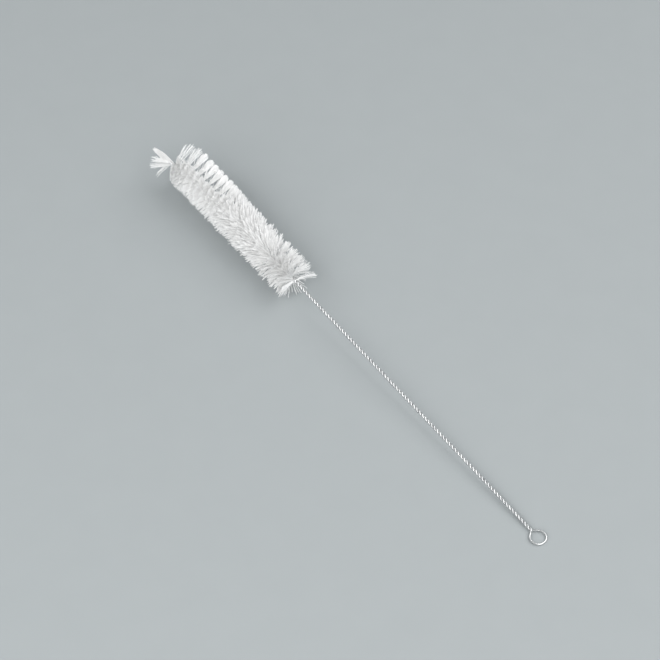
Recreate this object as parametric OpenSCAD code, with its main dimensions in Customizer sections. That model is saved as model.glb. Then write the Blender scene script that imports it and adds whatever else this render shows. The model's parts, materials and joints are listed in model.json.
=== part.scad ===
// Bottle brush of twisted wire, all lengths in millimetres.
// One length of wire is bent into a hanging eye at its middle. Its two legs cross at the neck,
// twist together into the stem, and grip a spiral of nylon bristles along the head. The tip of
// the wire is bent to one side, and the last bristles are turned forward there as a tuft.
// The brush lies on its side: the eye and the rear of the head touch the surface at z = 0,
// +X points from the eye to the tip, and +Z is up.

/* [Wire] */
// Diameter of the wire
wire_d = 0.9; // [0.6:0.05:1.2]
// Length of stem that one full turn of the strands takes
stem_pitch = 4.3; // [3.5:0.1:8]
// Clearance between the two strands along the stem
strand_clear = 0.05; // [0.02:0.01:0.2]

/* [Eye and stem] */
// Outside diameter of the hanging eye
eye_d = 8.3; // [6:0.1:16]
// Distance from the crossing of the legs to the ring of the eye
neck_gap = 1.3; // [0.8:0.1:4]
// Length of the bare stem, from the crossing to the head
stem_len = 174; // [80:1:260]

/* [Head] */
// Length of the wire that carries the head
head_len = 96; // [40:1:140]
// Diameter over the tips of the bristles
head_d = 21.6; // [14:0.2:40]
// Length of head that one full turn of the bristles takes
head_pitch = 8; // [7:0.1:14]
// Bundles of bristles in one full turn
turn_bundles = 24; // [16:1:30]
// Gap between neighbouring bundles at their tips
bundle_gap = 0.7; // [0.3:0.1:1.5]
// Width of a bundle where the strands grip it
grip_w = 0.18; // [0.1:0.01:0.2]
// Clearance on each side of a bundle between the strands
grip_clear = 0.05; // [0.03:0.01:0.1]
// How far the tips of the rearmost bristles lean towards the stem
rear_lean = 2; // [0:0.1:4]

/* [Tip] */
// Angle by which the end of the wire is bent to one side
tip_bend = 44; // [5:1:50]
// Length of the wire in that bend
bend_len = 16.2; // [12:0.2:30]
// Length of the tuft from the wire to its tips
tuft_len = 8.5; // [5:0.5:16]
// Angle of the tuft's outer arms from the end of the wire
tuft_fan = 44; // [30:1:55]
// Bundles in the tuft
tuft_bundles = 8; // [3:1:10]
// Gap between neighbouring arms of the tuft at their tips
tuft_gap = 0.3; // [0.2:0.05:0.6]

/* [Rest] */
// Depth of the flat that the weight of the brush presses into the bristles
flat_depth = 0.6; // [0.2:0.1:1.5]

/* [Hidden] */

// Flats round the wire and steps in one turn of a strand
wire_sides = 5;
turn_steps = 7;
leg_steps = 4;
eye_steps = 20;
// Sides of a bundle
bundle_sides = 3;

up = [0, 0, 1];
wire_r = wire_d / 2;
head_r = head_d / 2;

// The wire's corners stand as far outside its round section as its flats lie inside it.
// The strands turn a flat to each other, and their steps cut a little across each turn.
wire_corner_r = 2 * wire_r / (1 + cos(180 / wire_sides));
inner_r = wire_corner_r * cos(180 / wire_sides);
step_cut = cos(180 / turn_steps);
stem_strand_r = (inner_r + strand_clear / 2) / step_cut;
head_strand_r = (inner_r + grip_w / 2 + grip_clear) / step_cut;
spread_len = head_pitch / 2;
spread_start = stem_len - 1.25 * spread_len;

// The eye is a ring that both legs meet at a tangent
eye_r = eye_d / 2 - wire_r;
eye_reach = eye_r + neck_gap;
leg_angle = acos(eye_r / eye_reach);
leg_len = eye_reach * sin(leg_angle);
neck_x = eye_reach + eye_r;

// The end of the head follows an arc in the plane of the surface
wire_len = stem_len + head_len;
bend_start = wire_len - bend_len;
bend_r = bend_len / tip_bend * 180 / PI;

// Bundles follow each other along the wire at an even step, and leave a gap all round their tips
bundle_step = head_pitch / turn_bundles;
bundle_w = min(head_d * sin(180 / turn_bundles), head_pitch / 2) - bundle_gap;
tuft_turn = 16;
tuft_step = head_pitch * tuft_turn / 360;
inner_fan = 0.6 * tuft_fan;
tuft_w = 2 * tuft_len * sin(inner_fan) * sin(tuft_turn / 2) - tuft_gap;
tuft_start = wire_len - tuft_step * tuft_bundles;
head_bundles = floor((tuft_start - stem_len) / bundle_step) - 1;

// The axis rises from the eye to the rear of the head
tilt = asin((head_r - flat_depth - wire_r) / (neck_x + stem_len));

function unit(v) = v / norm(v);
function smooth(t) = let(c = min(max(t, 0), 1)) c * c * (3 - 2 * c);

// Middle line of the brush at s along the wire from the neck: turn, place, direction and side
function bend_at(s) = max(s - bend_start, 0) / bend_len * tip_bend;
function axis_at(s) = s < bend_start
    ? [neck_x + s, 0, 0]
    : [neck_x + bend_start + bend_r * sin(bend_at(s)), bend_r * (1 - cos(bend_at(s))), 0];
function along_at(s) = [cos(bend_at(s)), sin(bend_at(s)), 0];
function side_at(s) = [-sin(bend_at(s)), cos(bend_at(s)), 0];

// Angle of the upper strand about the middle line, and a direction square to that line
function twist_at(s) = 90 + 360 * (min(s, stem_len) / stem_pitch + max(s - stem_len, 0) / head_pitch);
function out_at(s, angle) = cos(angle) * side_at(s) + sin(angle) * up;
function strand_r_at(s) = stem_strand_r
    + (head_strand_r - stem_strand_r) * smooth((s - spread_start) / spread_len);

// The whole brush is tilted onto the surface, and nothing goes below it
function tilted(p) = [
    p[0] * cos(tilt) - p[2] * sin(tilt),
    p[1],
    p[0] * sin(tilt) + p[2] * cos(tilt) + wire_r
];
function laid(points) = [for (p = points) let(q = tilted(p)) [q[0] - mid_x, q[1], max(q[2], 0)]];

// Rings of points along a path. Each ring turns its first corner towards its reference vector.
function heading(path, i) = unit(path[min(i + 1, len(path) - 1)] - path[max(i - 1, 0)]);
function rings(path, refs, radii, sides) = [
    for (i = [0 : len(path) - 1])
        let(t = heading(path, i), e = unit(refs[i] - (refs[i] * t) * t), f = cross(t, e))
            for (k = [0 : sides - 1])
                path[i] + radii[i] * (cos(360 * k / sides) * e + sin(360 * k / sides) * f)
];

// Faces of one closed sweep of count rings, its points starting at index base
function skin(count, sides, base) = concat(
    [[for (k = [0 : sides - 1]) base + k]],
    [for (i = [0 : count - 2], k = [0 : sides - 1])
        let(a = base + i * sides + k, b = base + i * sides + (k + 1) % sides)
            each [[a, b + sides, b], [a, a + sides, b + sides]]],
    [[for (k = [sides - 1 : -1 : 0]) base + (count - 1) * sides + k]]
);
module sweeps(points, count, sides) {
    each_len = count * sides;
    polyhedron(
        points = laid(points),
        faces = [for (base = [0 : each_len : len(points) - 1]) each skin(count, sides, base)]
    );
}

// Steps along the wire from the neck to the tip
stem_steps = ceil(stem_len / stem_pitch * turn_steps);
head_steps = ceil(head_len / head_pitch * turn_steps);
strand_s = concat(
    [for (i = [0 : stem_steps - 1]) stem_len * i / stem_steps],
    [for (i = [0 : head_steps]) stem_len + head_len * i / head_steps]
);
last_s = len(strand_s) - 1;
function strand_point(s, turn) = axis_at(s) + strand_r_at(s) * out_at(s, twist_at(s) + turn);

// The leg of the upper strand from the neck to the ring of the eye
eye_middle = [eye_r, 0, 0];
function eye_point(angle) = eye_middle + eye_r * [cos(angle), sin(angle), 0];
leg_start = strand_point(0, 0);
leg_end = eye_point(leg_angle);
leg_out = leg_len * unit([-stem_pitch / (2 * PI), stem_strand_r, 0]);
leg_in = leg_len * [-sin(leg_angle), cos(leg_angle), 0];
function leg_point(t) = (2 * t ^ 3 - 3 * t ^ 2 + 1) * leg_start + (t ^ 3 - 2 * t ^ 2 + t) * leg_out
    + (3 * t ^ 2 - 2 * t ^ 3) * leg_end + (t ^ 3 - t ^ 2) * leg_in;
function under(p) = [p[0], -p[1], -p[2]];

eye_path = concat(
    [for (i = [1 : leg_steps - 1]) leg_point(i / leg_steps)],
    [for (i = [0 : eye_steps]) eye_point(leg_angle + (360 - 2 * leg_angle) * i / eye_steps)],
    [for (i = [leg_steps - 1 : -1 : 1]) under(leg_point(i / leg_steps))]
);
wire_path = concat(
    [for (i = [last_s : -1 : 0]) strand_point(strand_s[i], 0)],
    eye_path,
    [for (s = strand_s) strand_point(s, 180)]
);

// The first corner of each ring faces outwards on the strands and rolls half a turn round the eye
function eye_ref(i) = let(roll = 180 * (i + 1) / (len(eye_path) + 1))
    cos(roll) * up + sin(roll) * cross(heading(eye_path, i), up);
wire_refs = concat(
    [for (i = [last_s : -1 : 0]) out_at(strand_s[i], twist_at(strand_s[i]))],
    [for (i = [0 : len(eye_path) - 1]) eye_ref(i)],
    [for (s = strand_s) out_at(s, twist_at(s) + 180)]
);

// One bundle passes between the strands, square to the line that joins them
function corner_r(width) = width / (2 * sin(180 / bundle_sides));
function lean_at(s) = -rear_lean * (1 - smooth((s - stem_len) / head_pitch));
function head_arm(s, turn) = axis_at(s) + head_r * out_at(s, twist_at(s) + turn)
    + lean_at(s) * along_at(s);
function head_bundle(s) = rings(
    [head_arm(s, 90), axis_at(s), head_arm(s, -90)],
    [for (i = [0 : 2]) along_at(s)],
    [for (w = [bundle_w, grip_w, bundle_w]) corner_r(w)],
    bundle_sides
);

// A tuft bundle has both its arms turned forward, each in one bow, more so towards the tip
bow_out = 0.7;
bow_along = 0.32;
tuft_mid_w = (tuft_w + grip_w) / 2;
function tuft_arm(s, fan, turn, out, along) = axis_at(s)
    + out * tuft_len * sin(fan) * out_at(s, twist_at(s) + turn)
    + along * tuft_len * cos(fan) * along_at(s);
function tuft_bundle(s, fan) = rings(
    [tuft_arm(s, fan, 90, 1, 1), tuft_arm(s, fan, 90, bow_out, bow_along), axis_at(s),
        tuft_arm(s, fan, -90, bow_out, bow_along), tuft_arm(s, fan, -90, 1, 1)],
    [for (i = [0 : 4]) along_at(s)],
    [for (w = [tuft_w, tuft_mid_w, grip_w, tuft_mid_w, tuft_w]) corner_r(w)],
    bundle_sides
);
tuft_points = [for (i = [0 : tuft_bundles - 1]) each tuft_bundle(
    tuft_start + tuft_step * i,
    tuft_fan + (inner_fan - tuft_fan) * i / (tuft_bundles - 1)
)];

// Half way along the brush, from the outside of the eye to the furthest tip of the tuft
mid_x = (max([for (p = tuft_points) tilted(p)[0]]) - wire_r) / 2;

module twisted_wire() {
    color("silver")
        sweeps(
            rings(wire_path, wire_refs, [for (p = wire_path) wire_corner_r], wire_sides),
            len(wire_path), wire_sides
        );
}

module head_bristles() {
    color("white")
        sweeps(
            [for (i = [1 : head_bundles]) each head_bundle(stem_len + bundle_step * i)],
            3, bundle_sides
        );
}

module tip_tuft() {
    color("whitesmoke")
        sweeps(tuft_points, 5, bundle_sides);
}

twisted_wire();
head_bristles();
tip_tuft();
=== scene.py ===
import json
import math

import bpy
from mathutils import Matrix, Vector


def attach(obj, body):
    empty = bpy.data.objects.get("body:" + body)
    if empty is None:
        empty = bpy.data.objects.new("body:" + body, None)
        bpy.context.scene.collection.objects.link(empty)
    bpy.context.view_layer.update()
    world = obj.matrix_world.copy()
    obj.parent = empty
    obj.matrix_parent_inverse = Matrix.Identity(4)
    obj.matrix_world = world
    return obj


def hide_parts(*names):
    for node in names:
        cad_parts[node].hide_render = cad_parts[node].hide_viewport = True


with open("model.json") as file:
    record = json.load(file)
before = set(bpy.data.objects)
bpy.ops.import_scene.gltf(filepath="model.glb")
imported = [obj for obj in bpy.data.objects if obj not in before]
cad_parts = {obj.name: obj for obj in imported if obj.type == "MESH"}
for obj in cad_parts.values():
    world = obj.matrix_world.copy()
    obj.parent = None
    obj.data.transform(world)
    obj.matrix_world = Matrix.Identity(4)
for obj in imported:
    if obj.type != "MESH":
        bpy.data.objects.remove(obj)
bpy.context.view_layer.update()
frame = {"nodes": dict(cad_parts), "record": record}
mm = 0.001
fullTurn = 2 * math.pi
print("frame loaded:", ", ".join(sorted(frame["nodes"])))


class Socket:  # an output of a node that takes part in Python expressions
    def __init__(self, graph, source):
        self.graph = graph
        self.source = source

    def out(self, name):
        return Socket(self.graph, self.source.node.outputs[name])

    def math(self, operation, *values):
        return self.graph.add("ShaderNodeMath", {"operation": operation}, dict(enumerate(values)))

    def __add__(self, other):
        return self.math("ADD", self, other)

    def __radd__(self, other):
        return self.math("ADD", other, self)

    def __sub__(self, other):
        return self.math("SUBTRACT", self, other)

    def __rsub__(self, other):
        return self.math("SUBTRACT", other, self)

    def __mul__(self, other):
        return self.math("MULTIPLY", self, other)

    def __rmul__(self, other):
        return self.math("MULTIPLY", other, self)

    def __truediv__(self, other):
        return self.math("DIVIDE", self, other)

    def __rtruediv__(self, other):
        return self.math("DIVIDE", other, self)

    def __abs__(self):
        return self.math("ABSOLUTE", self)

    def sqrt(self):
        return self.math("SQRT", self)

    def sin(self):
        return self.math("SINE", self)

    def cos(self):
        return self.math("COSINE", self)

    def arccos(self):
        return self.math("ARCCOSINE", self)

    def floor(self):
        return self.math("FLOOR", self)

    def above(self, other):
        return self.math("GREATER_THAN", self, other)

    def atLeast(self, other):
        return self.math("MAXIMUM", self, other)

    def atMost(self, other):
        return self.math("MINIMUM", self, other)

    def clamped(self):
        return self.atLeast(0.0).atMost(1.0)

    def smooth(self):  # soft step from 0 to 1
        c = self.clamped()
        return c * c * (3.0 - 2.0 * c)

    def choose(self, whenOne, whenZero):  # self is from 0 to 1
        return whenZero + (whenOne - whenZero) * self


class Graph:  # a node tree that nodes are added to
    def __init__(self, tree):
        self.tree = tree

    def add(self, nodeType, settings=None, inputs=None, output=0):
        node = self.tree.nodes.new(nodeType)
        for name, value in (settings or {}).items():
            if name == "curve":
                points = node.mapping.curves[0].points
                points[0].location = value[0]
                points[1].location = value[-1]
                for place in value[1:-1]:
                    points.new(*place)
                for point in points:
                    point.handle_type = "VECTOR"
                node.mapping.update()
            else:
                setattr(node, name, value)
        self.plug(node, inputs or {})
        if isinstance(output, str):
            return Socket(self, next(s for s in node.outputs if s.name == output and s.enabled))
        return Socket(self, node.outputs[output])

    def plug(self, node, inputs):
        for key, value in inputs.items():
            if isinstance(key, int):
                target = node.inputs[key]
            else:
                target = next(s for s in node.inputs if s.name == key and s.enabled)
            if isinstance(value, Socket):
                self.tree.links.new(value.source, target)
            else:
                target.default_value = value

    def vector(self, x, y, z):
        return self.add("ShaderNodeCombineXYZ", None, {0: x, 1: y, 2: z})

    def random(self, seed, number):  # one value from 0 to 1 for each number
        return self.add("FunctionNodeRandomValue", {"data_type": "FLOAT"},
                        {"Min": 0.0, "Max": 1.0, "ID": number, "Seed": seed}, "Value")

    def stored(self, geometry, name, value):
        return self.add("GeometryNodeStoreNamedAttribute", {"data_type": "FLOAT", "domain": "POINT"},
                        {"Geometry": geometry, "Name": name, "Value": value})

    def named(self, name):
        return self.add("GeometryNodeInputNamedAttribute", {"data_type": "FLOAT"},
                        {"Name": name}, "Attribute")


def startTree(name, inputs):  # a geometry tree with one named input for each size
    group = bpy.data.node_groups.new(name, "GeometryNodeTree")
    group.interface.new_socket("Geometry", in_out="OUTPUT", socket_type="NodeSocketGeometry")
    kinds = {int: "NodeSocketInt", float: "NodeSocketFloat", Vector: "NodeSocketVector"}
    for label, value in inputs.items():
        kind = kinds.get(type(value), "NodeSocketMaterial")
        item = group.interface.new_socket(label, in_out="INPUT", socket_type=kind)
        if kind != "NodeSocketMaterial":
            item.default_value = value
    graph = Graph(group)
    groupInput = group.nodes.new("NodeGroupInput")
    size = {label: Socket(graph, groupInput.outputs[label]) for label in inputs}
    return graph, size


def lineOf(graph, count):  # a line with this many points
    line = graph.add("GeometryNodeCurvePrimitiveLine", {"mode": "POINTS"}, None, "Curve")
    return graph.add("GeometryNodeResampleCurve", {"mode": "COUNT"}, {"Curve": line, "Count": count})


def linesOn(graph, points, steps):  # a line for each point, which keeps the values stored there
    copies = graph.add("GeometryNodeInstanceOnPoints", None,
                       {"Points": points, "Instance": lineOf(graph, steps)})
    return graph.add("GeometryNodeRealizeInstances", None, {"Geometry": copies})


def endTree(graph, size, lines, place, radius):  # bends the lines into place and makes them round bars
    paths = graph.add("GeometryNodeSetPosition", None, {"Geometry": lines, "Position": place})
    section = graph.add("GeometryNodeCurvePrimitiveCircle", {"mode": "RADIUS"},
                        {"Resolution": size["Sides"], "Radius": radius}, "Curve")
    bars = graph.add("GeometryNodeCurveToMesh", None,
                     {"Curve": paths, "Profile Curve": section, "Fill Caps": True})
    realized = graph.add("GeometryNodeRealizeInstances", None, {"Geometry": bars})
    smoothed = graph.add("GeometryNodeSetShadeSmooth", None, {"Geometry": realized})
    finished = graph.add("GeometryNodeSetMaterial", None,
                         {"Geometry": smoothed, "Material": size["Material"]})
    groupOutput = graph.tree.nodes.new("NodeGroupOutput")
    graph.plug(groupOutput, {"Geometry": finished})


def runTree(pieceName, graph, values):  # evaluates a tree into a plain mesh object
    piece = bpy.data.objects.new(pieceName, bpy.data.meshes.new(pieceName))
    bpy.context.scene.collection.objects.link(piece)
    modifier = piece.modifiers.new("shape", "NODES")
    modifier.node_group = graph.tree
    for item in graph.tree.interface.items_tree:
        if item.in_out == "INPUT":
            modifier[item.identifier] = values[item.name]
    depsgraph = bpy.context.evaluated_depsgraph_get()
    mesh = bpy.data.meshes.new_from_object(piece.evaluated_get(depsgraph),
                                           preserve_all_data_layers=True, depsgraph=depsgraph)
    piece.modifiers.clear()
    piece.data = mesh
    mesh.name = pieceName
    print("made", pieceName, "with", sum(len(p.vertices) - 2 for p in mesh.polygons), "triangles")
    return piece


def newMaterial(name):
    material = bpy.data.materials.new(name)
    material.use_nodes = True
    return material, Graph(material.node_tree), material.node_tree.nodes["Principled BSDF"]


def mixColor(graph, factor, colorA, colorB):
    return graph.add("ShaderNodeMix", {"data_type": "RGBA"},
                     {"Factor": factor, "A": colorA, "B": colorB}, "Result")


# Sizes that the wire, the bristles and the tuft share, the same as the solids have
brush = {
    "wireRadius": 0.45 * mm,
    "eyeRadius": 3.7 * mm,  # to the middle of the wire
    "neckGap": 1.3 * mm,
    "stemLength": 174 * mm,
    "stemPitch": 4.3 * mm,
    "headLength": 96 * mm,
    "headPitch": 8 * mm,
    "headRadius": 10.8 * mm,
    "tipBend": math.radians(44),
    "bendLength": 16.2 * mm,
    "flatDepth": 0.6 * mm,  # how far the bristles under the rear are pressed in
}
neckX = 2 * brush["eyeRadius"] + brush["neckGap"]
wireLength = brush["stemLength"] + brush["headLength"]
tilt = math.asin((brush["headRadius"] - brush["flatDepth"] - brush["wireRadius"])
                 / (neckX + brush["stemLength"]))
eyeMiddle = Vector(frame["record"]["mounts"][0]["pos_m"])
midX = brush["eyeRadius"] * math.cos(tilt) - eyeMiddle.x

axisSizes = {
    "Neck X": neckX,
    "Stem Length": brush["stemLength"],
    "Stem Pitch": brush["stemPitch"],
    "Head Length": brush["headLength"],
    "Head Pitch": brush["headPitch"],
    "Bend Start": wireLength - brush["bendLength"],
    "Bend Radius": brush["bendLength"] / brush["tipBend"],
    "Tilt": tilt,
    "Middle X": midX,
    "Wire Radius": brush["wireRadius"],
}


def axisAt(size, s):  # middle line of the brush at s from the neck, and its direction
    bend = (s - size["Bend Start"]).atLeast(0.0) / size["Bend Radius"]
    x = size["Neck X"] + s.atMost(size["Bend Start"]) + size["Bend Radius"] * bend.sin()
    y = size["Bend Radius"] * (1.0 - bend.cos())
    return x, y, bend.cos(), bend.sin()


def twistAt(size, s):  # angle of the upper strand about the middle line
    stemTurns = s.atMost(size["Stem Length"]) / size["Stem Pitch"]
    headTurns = (s - size["Stem Length"]).atLeast(0.0) / size["Head Pitch"]
    return (stemTurns + headTurns) * fullTurn + fullTurn / 4


def layDown(graph, size, x, y, z, lowest):  # the whole brush is tilted onto the surface
    tiltCos, tiltSin = size["Tilt"].cos(), size["Tilt"].sin()
    placedX = x * tiltCos - z * tiltSin - size["Middle X"]
    placedZ = x * tiltSin + z * tiltCos + size["Wire Radius"]
    return graph.vector(placedX, y, placedZ.atLeast(lowest))


# Polished steel of the wire
steel = {
    "bright": (0.80, 0.80, 0.80, 1),
    "dull": (0.60, 0.60, 0.61, 1),
    "roughness": 0.24,
    "roughnessChange": 0.14,
    "patchScale": 450,
    "patchDetail": 3,
    "patchRoughness": 0.6,
    "dullFrom": 0.42,  # level of the patches at which the steel turns dull
    "dullContrast": 4,
    "grainScale": 9000,  # marks of drawing
    "grainDetail": 2,
    "grainDepth": 0.004 * mm,
    "grainStrength": 0.35,
}


def steelMaterial():
    material, graph, shader = newMaterial("polishedSteel")
    place = graph.add("ShaderNodeTexCoord", output="Object")
    patches = graph.add("ShaderNodeTexNoise", None,
                        {"Vector": place, "Scale": steel["patchScale"], "Detail": steel["patchDetail"],
                         "Roughness": steel["patchRoughness"]})
    grain = graph.add("ShaderNodeTexNoise", None,
                      {"Vector": place, "Scale": steel["grainScale"], "Detail": steel["grainDetail"]})
    bump = graph.add("ShaderNodeBump", None,
                     {"Strength": steel["grainStrength"], "Distance": steel["grainDepth"],
                      "Height": grain})
    worn = ((patches - steel["dullFrom"]) * steel["dullContrast"]).smooth()
    graph.plug(shader, {
        "Base Color": mixColor(graph, worn, steel["bright"], steel["dull"]),
        "Metallic": 1.0,
        "Roughness": worn * steel["roughnessChange"] + steel["roughness"],
        "Normal": bump,
    })
    return material


# White nylon of the bristles, each filament with its own tone, and some locks darker with painted shade
nylon = {
    "light": (0.995, 0.994, 0.99, 1),
    # the darkest colour, for each filament's own tone and for the painted shade on locks
    "darkToneAndShade": (0.8, 0.796, 0.79, 1),
    "roughness": 0.42,
    "roughnessChange": 0.3,
    "streakScale": 900,
    "streakDetail": 2,
    "refraction": 1.53,
}


def nylonMaterial():
    material, graph, shader = newMaterial("whiteNylon")
    # the attribute holds each filament's own tone and the painted shade of its lock
    tone = graph.add("ShaderNodeAttribute", {"attribute_name": "tone"}, output="Fac")
    place = graph.add("ShaderNodeTexCoord", output="Object")
    streaks = graph.add("ShaderNodeTexNoise", None,
                        {"Vector": place, "Scale": nylon["streakScale"], "Detail": nylon["streakDetail"]})
    graph.plug(shader, {
        "Base Color": mixColor(graph, tone, nylon["darkToneAndShade"], nylon["light"]),
        "Roughness": (streaks - 0.5) * nylon["roughnessChange"] + nylon["roughness"],
        "IOR": nylon["refraction"],
    })
    return material


polishedSteel = steelMaterial()
whiteNylon = nylonMaterial()
print("materials made")


# One length of wire: a strand from the tip to the neck, round the eye and back to the tip
wire = {
    "turnPoints": 20,  # to one turn of the stem
    "eyePoints": 72,
    "sides": 12,
    "stemStrandRadius": 0.452 * mm,
    "headStrandRadius": 0.56 * mm,
    "spreadLength": 4 * mm,  # in which the strands part from the stem into the head
    "ringShare": 0.72,  # of the eye's length, the rest is its two legs
    "eyeEnd": 0.9999,  # share of the eye's length from which a point is on the second strand
}


def wireTree():
    inputs = dict(axisSizes)
    inputs.update({
        "Strand Points": math.ceil(wireLength / brush["stemPitch"] * wire["turnPoints"]),
        "Eye Points": wire["eyePoints"],
        "Eye Radius": brush["eyeRadius"],
        "Neck Gap": brush["neckGap"],
        "Stem Strand Radius": wire["stemStrandRadius"],
        "Head Strand Radius": wire["headStrandRadius"],
        "Spread Length": wire["spreadLength"],
        "Sides": wire["sides"],
        "Material": polishedSteel,
    })
    graph, size = startTree("twistedWireTree", inputs)
    line = lineOf(graph, 2.0 * size["Strand Points"] + size["Eye Points"] + 1.0)
    index = graph.add("GeometryNodeInputIndex")

    # where a point is: s along a strand, or share of the way round the eye
    toNeck = 1.0 - index / size["Strand Points"]
    pastEye = (index - size["Strand Points"] - size["Eye Points"]) / size["Strand Points"]
    length = size["Stem Length"] + size["Head Length"]
    s = toNeck.atLeast(pastEye).atLeast(0.0) * length
    share = ((index - size["Strand Points"]) / size["Eye Points"]).clamped()
    second = share.above(0.5)
    hand = 1.0 - 2.0 * second

    # the strands wind round the middle line
    x, y, alongX, alongY = axisAt(size, s)
    opening = ((s - size["Stem Length"]) / size["Spread Length"] + 1.0).smooth()
    radius = opening.choose(size["Head Strand Radius"], size["Stem Strand Radius"])
    angle = twistAt(size, s) + second * (fullTurn / 2)
    across = radius * angle.cos()
    strandX, strandY, strandZ = x - across * alongY, y + across * alongX, radius * angle.sin()

    # the ring of the eye, from its far side to where a leg leaves it
    eyeRadius = size["Eye Radius"]
    reach = eyeRadius + size["Neck Gap"]
    legAngle = (eyeRadius / reach).arccos()
    legLength = reach * legAngle.sin()
    away = abs(2.0 * share - 1.0)
    ringAngle = fullTurn / 2 - (fullTurn / 2 - legAngle) * (away / wire["ringShare"]).atMost(1.0)
    ringX, ringY = eyeRadius + eyeRadius * ringAngle.cos(), eyeRadius * ringAngle.sin()

    # a leg swings from the neck into the ring
    t = ((1.0 - away) / (1.0 - wire["ringShare"])).clamped()
    t2, t3 = t * t, t * t * t
    fromNeck, fromRing = 2.0 * t3 - 3.0 * t2 + 1.0, 3.0 * t2 - 2.0 * t3
    outNeck, intoRing = (t3 - 2.0 * t2 + t) * legLength, (t3 - t2) * legLength
    lead = size["Stem Pitch"] / fullTurn
    slope = (lead * lead + size["Stem Strand Radius"] * size["Stem Strand Radius"]).sqrt()
    legX = (fromNeck * size["Neck X"] - outNeck * (lead / slope)
            + fromRing * (eyeRadius + eyeRadius * legAngle.cos()) - intoRing * legAngle.sin())
    legY = (outNeck * (size["Stem Strand Radius"] / slope)
            + fromRing * (eyeRadius * legAngle.sin()) + intoRing * legAngle.cos())
    legZ = fromNeck * size["Stem Strand Radius"]

    onLeg = away.above(wire["ringShare"])
    inEye = share.above(0.0) * (1.0 - share.above(wire["eyeEnd"]))
    eyeX = onLeg.choose(legX, ringX)
    eyeY = onLeg.choose(legY, ringY) * hand
    eyeZ = onLeg * legZ * hand
    place = layDown(graph, size, inEye.choose(eyeX, strandX), inEye.choose(eyeY, strandY),
                    inEye.choose(eyeZ, strandZ), size["Wire Radius"])
    endTree(graph, size, line, place, size["Wire Radius"])
    return graph, inputs


twistedWire = runTree("twistedWire", *wireTree())


# Bristles of the head: filaments gripped between the strands, standing out on both sides
bristles = {
    "filaments": 14400,
    "pieces": 4,
    "steps": 6,
    "sides": 4,
    "radius": 0.088 * mm,
    "lockSize": 7,  # filaments that hold together
    "lockGather": 0.62,  # how far their tips draw together
    "loose": 0.25,  # how far a filament leaves its lock's place in a leaf
    "overhang": 0.6 * mm,  # of the longest locks over the head's nominal radius
    "trim": 1.5 * mm,  # how much shorter single filaments may be
    "scallop": 1.8 * mm,  # a leaf's edges are shorter than its middle
    "stray": 0.03,  # radians that a filament may stand off its place round the wire
    "crossing": 0.02,  # share of the filaments that stand across the parting
    "bareTip": 2.2 * mm,  # of the wire, which holds the tuft
    "rootLean": 0.35,  # share of its lean that a filament has at the root
    "turnShare": 0.4,  # share of its length in which it turns to its side of the parting
    "evenLeaves": 0.8,  # how much less ragged the parted leaves are
    "ownTone": 0.1,  # how much darker single filaments may be
    "lowerMiddle": 0.25,  # middle of the lower side: share of a turn from under the head
    # along the head, from its rear to its tip: how the tips lean, 0.5 is upright
    "lean": [(0, 0.4), (0.06, 0.45), (0.155, 0.5), (0.185, 0.74), (0.25, 0.84), (0.42, 0.84),
             (0.55, 0.66), (0.65, 0.53), (1, 0.5)],
    # what the tips on the upper side and underneath lean besides
    "upperLean": [(0, 0.48), (0.07, 0.47), (0.15, 0.5), (0.86, 0.5), (1, 0.2)],
    "underLean": [(0, 0.25), (0.05, 0.35), (0.12, 0.5), (1, 0.5)],
    # how far a leaf of bristles fans out, on the upper and the lower side
    "fan": [(0, 0.21), (0.08, 0.18), (0.15, 0.15), (0.3, 0.14), (0.5, 0.14), (0.6, 0.203),
            (0.9, 0.205), (1, 0.26)],
    "lowerFan": [(0, 0.12), (0.15, 0.095), (0.5, 0.08), (0.7, 0.05), (1, 0.05)],
    # how far its locks sway apart
    "sway": [(0, 0.12), (0.15, 0.09), (0.3, 0.06), (0.5, 0.05), (0.65, 0.02), (1, 0.025)],
    # how much shorter some locks are
    "ragged": [(0, 0.2), (0.1, 0.2), (0.2, 0.17), (0.5, 0.15), (0.64, 0.1), (1, 0.05)],
    # the tip of the head is rounded below, and its last leaf above is longer
    "length": [(0, 1), (0.9, 1), (0.96, 0.93), (1, 0.66)],
    "longer": [(0, 0), (0.86, 0), (0.95, 0.1), (1, 0.1)],
    # how many bristles are missing under the rear, and above the tip
    "thin": [(0, 0.85), (0.04, 0.8), (0.07, 0), (1, 0)],
    "upperThin": [(0, 0.25), (0.05, 0.15), (0.1, 0), (0.86, 0), (0.9, 0.55), (0.94, 0.82), (1, 0.94)],
    # the front half is parted by storage: share of a turn from under the head, before and after
    "parting": [(0, 0), (0.25, 0.25), (0.5, 0.478), (0.633, 0.533), (0.639, 0.722), (0.878, 0.794),
                (0.884, 0.983), (1, 1)],
    # how much of that parting there is along the head
    "partedShare": [(0, 0.3), (0.14, 0.3), (0.2, 0), (0.48, 0), (0.64, 1), (1, 1)],
    "partedFrom": math.radians(-116),  # under the head, as an angle round the wire
    # painted shade: how much darker some locks are painted, on the upper and the lower side, most at the
    # rear and underneath, for the shadow between locks and the rear and lower side lying in less light
    "paintedShade": [(0, 0.55), (0.2, 0.5), (0.4, 0.35), (0.62, 0.15), (1, 0.15)],
    "lowerPaintedShade": [(0, 1), (0.4, 1), (0.62, 0.2), (1, 0.15)],
    "seed": 5,
}


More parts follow.
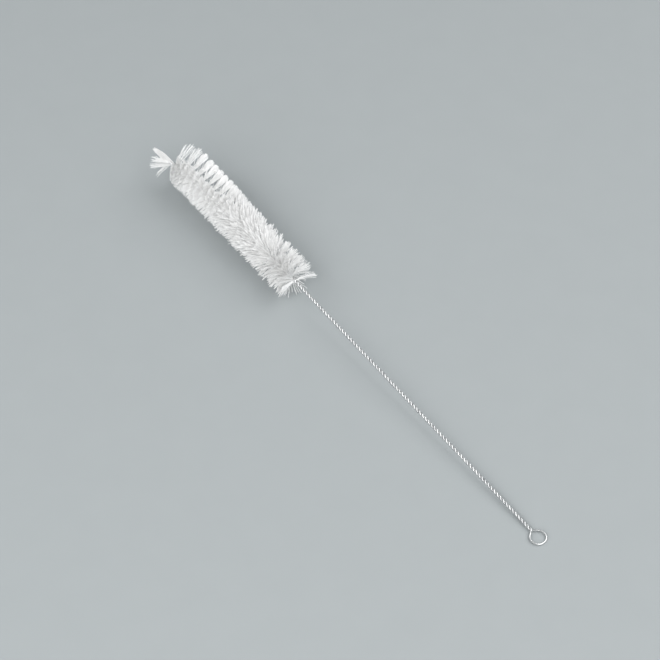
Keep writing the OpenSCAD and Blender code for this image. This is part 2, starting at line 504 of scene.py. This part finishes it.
def bristleTree():
    inputs = dict(axisSizes)
    inputs.update({
        "Filaments": bristles["filaments"] // bristles["pieces"],
        "First": 0,
        "All Filaments": bristles["filaments"],
        "Bare Tip": bristles["bareTip"],
        "Head Radius": brush["headRadius"],
        "Filament Radius": bristles["radius"],
        "Steps": bristles["steps"],
        "Sides": bristles["sides"],
        "Lock Size": bristles["lockSize"],
        "Lock Gather": bristles["lockGather"],
        "Trim": bristles["trim"],
        "Scallop": bristles["scallop"],
        "Overhang": bristles["overhang"],
        "Stray": bristles["stray"],
        "Seed": bristles["seed"],
        "Material": whiteNylon,
    })
    graph, size = startTree("headBristleTree", inputs)
    points = graph.add("GeometryNodeMeshLine", {"mode": "OFFSET"}, {"Count": size["Filaments"]})
    number = graph.add("GeometryNodeInputIndex") + size["First"]

    def chance(offset, item=number):  # each offset is a draw of its own
        return graph.random(size["Seed"] + float(offset), item)

    pair = (number / 2.0).floor()
    side = number - 2.0 * pair
    inLock = pair / size["Lock Size"]
    lock = inLock.floor() * 2.0 + side
    lockPlace = inLock - inLock.floor() - 0.5
    share = (number + chance(1)) / size["All Filaments"]
    s = size["Stem Length"] + share * (size["Head Length"] - size["Bare Tip"])
    lockAngle = (size["Lock Size"] * 2.0 / size["All Filaments"] * size["Head Length"]
                 / size["Head Pitch"] * fullTurn)
    turn = twistAt(size, s) + fullTurn / 4 + side * (fullTurn / 2)

    def along(name):  # a value that changes along the head
        return graph.add("ShaderNodeFloatCurve", {"curve": bristles[name]}, {"Value": share})

    heading = (turn - bristles["partedFrom"]) / fullTurn
    heading = heading - heading.floor()
    parted = graph.add("ShaderNodeFloatCurve", {"curve": bristles["parting"]}, {"Value": heading})
    follows = along("partedShare") * chance(10).above(bristles["crossing"])
    sweepAngle = (parted - heading) * follows * fullTurn
    upperSide = 0.5 - 0.5 * ((parted - bristles["lowerMiddle"]) * fullTurn).cos()
    fan = upperSide.choose(along("fan"), along("lowerFan"))
    loose = (bristles["loose"] + upperSide * along("partedShare")).atMost(1.0)
    wide = loose.choose(chance(2), chance(15, lock)) * 2.0 - 1.0  # place across a leaf
    spread = fan * wide + along("sway") * (chance(4, lock) * 2.0 - 1.0)
    underSide = 0.5 + 0.5 * (parted * fullTurn).cos()
    lean = (along("lean") - 0.5 + (along("upperLean") - 0.5) * upperSide
            + (along("underLean") - 0.5) * underSide)
    points = graph.stored(points, "s", s)
    points = graph.stored(points, "turn", turn + size["Stray"] * (chance(5) * 2.0 - 1.0))
    points = graph.stored(points, "swept", sweepAngle)
    points = graph.stored(points, "gather", lockPlace * lockAngle * size["Lock Gather"])
    points = graph.stored(points, "lean", lean)
    points = graph.stored(points, "spread", spread)
    even = 1.0 - bristles["evenLeaves"] * upperSide * along("partedShare")
    ragged = along("ragged") * chance(11, lock) * even
    length = upperSide.choose(1.0 + along("longer"), along("length"))
    reach = (size["Head Radius"] + size["Overhang"]) * length * (1.0 - ragged)
    reach = reach - size["Scallop"] * wide * wide - size["Trim"] * chance(6) * chance(7)
    points = graph.stored(points, "reach", reach)
    # painted shade on locks: some locks are made darker, most at the rear and on the lower side, for the
    # shadow between locks; each filament also has its own random tone
    paintedShade = upperSide.choose(along("paintedShade"), along("lowerPaintedShade"))
    tone = 1.0 - chance(8) * bristles["ownTone"] - chance(9, lock) * paintedShade
    points = graph.stored(points, "tone", tone)

    missing = along("thin") * underSide + along("upperThin") * upperSide
    missing = missing.above(chance(13))
    points = graph.add("GeometryNodeDeleteGeometry", {"domain": "POINT"},
                       {"Geometry": points, "Selection": missing})
    lines = linesOn(graph, points, size["Steps"])

    t = graph.add("GeometryNodeSplineParameter", output="Factor")
    x, y, alongX, alongY = axisAt(size, graph.named("s"))
    out = graph.named("reach") * t
    swept = graph.named("swept") * (t / bristles["turnShare"]).smooth()
    angle = graph.named("turn") - graph.named("gather") * t + swept
    leanShare = bristles["rootLean"] + (1.0 - bristles["rootLean"]) * t
    ahead = out * (graph.named("spread") + graph.named("lean") * leanShare)
    across = out * angle.cos()
    place = layDown(graph, size, x - across * alongY + ahead * alongX,
                    y + across * alongX + ahead * alongY, out * angle.sin(), size["Filament Radius"])
    endTree(graph, size, lines, place, size["Filament Radius"])
    return graph, inputs


def headPieces():
    graph, inputs = bristleTree()
    made = []
    for part in range(bristles["pieces"]):
        values = dict(inputs, First=part * inputs["Filaments"])
        made.append(runTree(f"headBristles{part + 1}", graph, values))
    return made


headBristles = headPieces()


# The tuft: the last bristles are turned forward and part into three lobes
tuft = {
    "rootLength": 2.4 * mm,  # of the wire that grips the tuft
    "rootSpread": 0.55 * mm,
    "neckSpread": 2.1 * mm,
    "radius": 0.088 * mm,
    "steps": 9,
    "sides": 4,
    "neckAt": 0.06,  # where a lobe's neck and middle are along it, and their share of its bow
    "neckBow": 0.3,
    "middleAt": 0.55,
    "middleBow": 1.5,
    "seedStep": 100,
    "lobes": {
        "tipTuftPetal": {"count": 90, "aim": Vector((11.3, 1.2, 1.4)), "length": 11.4 * mm,
                         "bow": Vector((0.1, -0.6, 0.4)) * mm, "middle": 1.6 * mm, "end": 0.8 * mm,
                         "fray": 0.14, "seed": 21},
        "tipTuftFan": {"count": 64, "aim": Vector((7.1, 6.2, -1.6)), "length": 9.6 * mm,
                       "bow": Vector((0, 0, 0)), "middle": 1.7 * mm, "end": 3.2 * mm,
                       "fray": 0.36, "seed": 22},
        "tipTuftWisp": {"count": 11, "aim": Vector((0.4, 7.4, -4.6)), "length": 8.8 * mm,
                        "bow": Vector((0, 0, 0)), "middle": 0.6 * mm, "end": 1.3 * mm,
                        "fray": 0.4, "seed": 23},
    },
}


def lobeSizes(lobe):
    return {
        "Filaments": lobe["count"],
        "Aim": lobe["aim"],
        "Length": lobe["length"],
        "Bow": lobe["bow"],
        "Middle Spread": lobe["middle"],
        "End Spread": lobe["end"],
        "Fray": lobe["fray"],
        "Seed": lobe["seed"],
    }


def tuftTree():
    inputs = dict(axisSizes)
    inputs.update(lobeSizes(tuft["lobes"]["tipTuftPetal"]))
    inputs.update({
        "Root Spread": tuft["rootSpread"],
        "Neck Spread": tuft["neckSpread"],
        "Root Length": tuft["rootLength"],
        "Filament Radius": tuft["radius"],
        "Steps": tuft["steps"],
        "Sides": tuft["sides"],
        "Material": whiteNylon,
    })
    graph, size = startTree("tipTuftTree", inputs)
    points = graph.add("GeometryNodeMeshLine", {"mode": "OFFSET"}, {"Count": size["Filaments"]})
    number = graph.add("GeometryNodeInputIndex")

    def chance(offset):
        return graph.random(size["Seed"] + float(offset * tuft["seedStep"]), number)

    ring = chance(1) * fullTurn
    rim = chance(2).sqrt()
    points = graph.stored(points, "ringX", rim * ring.cos())
    points = graph.stored(points, "ringY", rim * ring.sin())
    points = graph.stored(points, "root", chance(3))
    points = graph.stored(points, "cut", 1.0 - size["Fray"] * chance(4))
    points = graph.stored(points, "tone", chance(5))

    lines = linesOn(graph, points, size["Steps"])

    # each filament is one bow from between the strands, through its lobe, to its end
    t = graph.add("GeometryNodeSplineParameter", output="Factor")
    tip = size["Stem Length"] + size["Head Length"]
    rootX, rootY = axisAt(size, tip - size["Root Length"] * graph.named("root"))[:2]
    endX, endY = axisAt(size, tip)[:2]
    aim = graph.add("ShaderNodeSeparateXYZ", None, {0: size["Aim"]})
    aimX, aimY, aimZ = aim.out("X"), aim.out("Y"), aim.out("Z")
    scale = size["Length"] / (aimX * aimX + aimY * aimY + aimZ * aimZ).sqrt()
    flat = (aimX * aimX + aimY * aimY).sqrt()
    sideX, sideY = -1.0 * aimY / flat, aimX / flat
    across, rise = graph.named("ringX"), graph.named("ringY")
    bow = graph.add("ShaderNodeSeparateXYZ", None, {0: size["Bow"]})

    def lobePoint(portion, spread, bowed):
        part = scale * portion
        return (endX + aimX * part + sideX * across * spread + bow.out("X") * bowed,
                endY + aimY * part + sideY * across * spread + bow.out("Y") * bowed,
                aimZ * part + rise * spread + bow.out("Z") * bowed)

    rootSpread = size["Root Spread"]
    root = (rootX + sideX * across * rootSpread, rootY + sideY * across * rootSpread, rise * rootSpread)
    neck = lobePoint(tuft["neckAt"], size["Neck Spread"], tuft["neckBow"])
    middle = lobePoint(tuft["middleAt"], size["Middle Spread"], tuft["middleBow"])
    end = lobePoint(graph.named("cut"), size["End Spread"], 0.0)
    u = 1.0 - t
    place = [u * u * u * a + 3.0 * t * u * u * b + 3.0 * t * t * u * c + t * t * t * d
             for a, b, c, d in zip(root, neck, middle, end)]
    laid = layDown(graph, size, *place, size["Filament Radius"])
    endTree(graph, size, lines, laid, size["Filament Radius"])
    return graph, inputs


def tuftPieces():
    graph, inputs = tuftTree()
    made = []
    for name, lobe in tuft["lobes"].items():
        made.append(runTree(name, graph, {**inputs, **lobeSizes(lobe)}))
    return made


tipTuft = tuftPieces()


def declare(piece, node):
    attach(piece, "root")
    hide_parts(node)


declare(twistedWire, "twisted_wire")
for piece in headBristles:
    declare(piece, "head_bristles")
for piece in tipTuft:
    declare(piece, "tip_tuft")
print("pieces declared")


# A plain pale surface
surface = {
    "size": 8.0,
    "color": (0.333, 0.356, 0.361, 1),
    "colorChange": (0.319, 0.342, 0.347, 1),
    "roughness": 0.75,
    "mottleScale": 60,
    "mottleDetail": 4,
    "background": (0.45, 0.475, 0.48, 1),
    "fadeFrom": 0.28,  # from the middle of the brush, where the floor starts to turn into the background
    "fadeLength": 0.55,
}


def seenRay(graph):  # 1 for what the camera, the steel or a clear piece shows
    path = graph.add("ShaderNodeLightPath", output="Is Camera Ray")
    return (path + path.out("Is Glossy Ray") + path.out("Is Transmission Ray")).atMost(1.0)


def makeFloor():
    half = surface["size"] / 2
    corners = [(-half, -half, 0), (half, -half, 0), (half, half, 0), (-half, half, 0)]
    mesh = bpy.data.meshes.new("paleFloor")
    mesh.from_pydata(corners, [], [(0, 1, 2, 3)])
    floor = bpy.data.objects.new("paleFloor", mesh)
    bpy.context.scene.collection.objects.link(floor)
    material, graph, shader = newMaterial("palePaper")
    place = graph.add("ShaderNodeTexCoord", output="Object")
    mottle = graph.add("ShaderNodeTexNoise", None,
                       {"Vector": place, "Scale": surface["mottleScale"],
                        "Detail": surface["mottleDetail"]})
    graph.plug(shader, {
        "Base Color": mixColor(graph, mottle, surface["color"], surface["colorChange"]),
        "Roughness": surface["roughness"],
    })
    away = graph.add("ShaderNodeVectorMath", {"operation": "LENGTH"}, {0: place}, "Value")
    far = ((away - surface["fadeFrom"]) / surface["fadeLength"]).smooth() * seenRay(graph)
    glow = graph.add("ShaderNodeEmission", None, {"Color": surface["background"], "Strength": 1.0})
    paper = Socket(graph, shader.outputs[0])
    faded = graph.add("ShaderNodeMixShader", None, {0: far, 1: paper, 2: glow})
    graph.plug(material.node_tree.nodes["Material Output"], {"Surface": faded})
    mesh.materials.append(material)


# The camera, and soft lamps placed as it sees them: on the left, two on the right, and in front
cameraView = {
    "azimuth": math.radians(232.63),
    "elevation": math.radians(50),
    "distance": 1.3472,
    "target": Vector((0.0132, 0.0001, 0)),
    "lens": 156.4,
    "sensor": 36,
    "nearest": 0.05,
}
lamps = {
    "leftLamp": {"across": -1.0, "back": 0.1, "height": 0.85, "size": 0.7, "power": 5,
                 "shine": False},
    "rightLamp": {"across": 0.85, "back": 0.35, "height": 1.05, "size": 1.25, "power": 11.5,
                  "shine": True},
    "nearLamp": {"across": 0.55, "back": -0.8, "height": 1.05, "size": 1.0, "power": 7.5,
                 "shine": True},
    "frontLamp": {"across": -0.55, "back": -1.05, "height": 0.85, "size": 1.3, "power": 16,
                  "shine": False},
}
worldLight = {
    "color": (0.9, 0.95, 1.0, 1),
    "strength": 0.28,
    "bounces": 32,  # light goes from filament to filament many times
}


def makeLamps():
    azimuth = cameraView["azimuth"]
    right = Vector((math.cos(azimuth), math.sin(azimuth), 0))
    back = Vector((-math.sin(azimuth), math.cos(azimuth), 0))
    for name, lamp in lamps.items():
        data = bpy.data.lights.new(name, "AREA")
        data.size = lamp["size"]
        data.energy = lamp["power"]
        light = bpy.data.objects.new(name, data)
        light.visible_glossy = lamp["shine"]  # whether the steel mirrors it
        light.location = right * lamp["across"] + back * lamp["back"] + Vector((0, 0, lamp["height"]))
        light.rotation_euler = (-light.location).to_track_quat("-Z", "Y").to_euler()
        bpy.context.scene.collection.objects.link(light)


def makeWorld():
    world = bpy.data.worlds.new("studio")
    bpy.context.scene.world = world
    world.use_nodes = True
    graph = Graph(world.node_tree)
    light = graph.add("ShaderNodeBackground", None,
                      {"Color": worldLight["color"], "Strength": worldLight["strength"]})
    backdrop = graph.add("ShaderNodeBackground", None, {"Color": surface["background"], "Strength": 1.0})
    mixed = graph.add("ShaderNodeMixShader", None, {0: seenRay(graph), 1: light, 2: backdrop})
    output = next(n for n in world.node_tree.nodes if n.type == "OUTPUT_WORLD")
    graph.plug(output, {"Surface": mixed})


def makeCamera():
    azimuth, elevation = cameraView["azimuth"], cameraView["elevation"]
    back = Vector((math.sin(azimuth) * math.cos(elevation),
                   -math.cos(azimuth) * math.cos(elevation), math.sin(elevation)))
    data = bpy.data.cameras.new("photoCamera")
    data.lens = cameraView["lens"]
    data.sensor_width = cameraView["sensor"]
    data.clip_start = cameraView["nearest"]
    camera = bpy.data.objects.new("photoCamera", data)
    camera.location = cameraView["target"] + back * cameraView["distance"]
    camera.rotation_euler = back.to_track_quat("Z", "Y").to_euler()
    bpy.context.scene.collection.objects.link(camera)
    bpy.context.scene.camera = camera


makeFloor()
makeLamps()
makeWorld()
makeCamera()
bpy.context.scene.view_settings.view_transform = "Standard"
lightPaths = bpy.context.scene.cycles
lightPaths.max_bounces = worldLight["bounces"]
lightPaths.diffuse_bounces = worldLight["bounces"]
lightPaths.transmission_bounces = worldLight["bounces"]
print("floor, lamps and camera made")
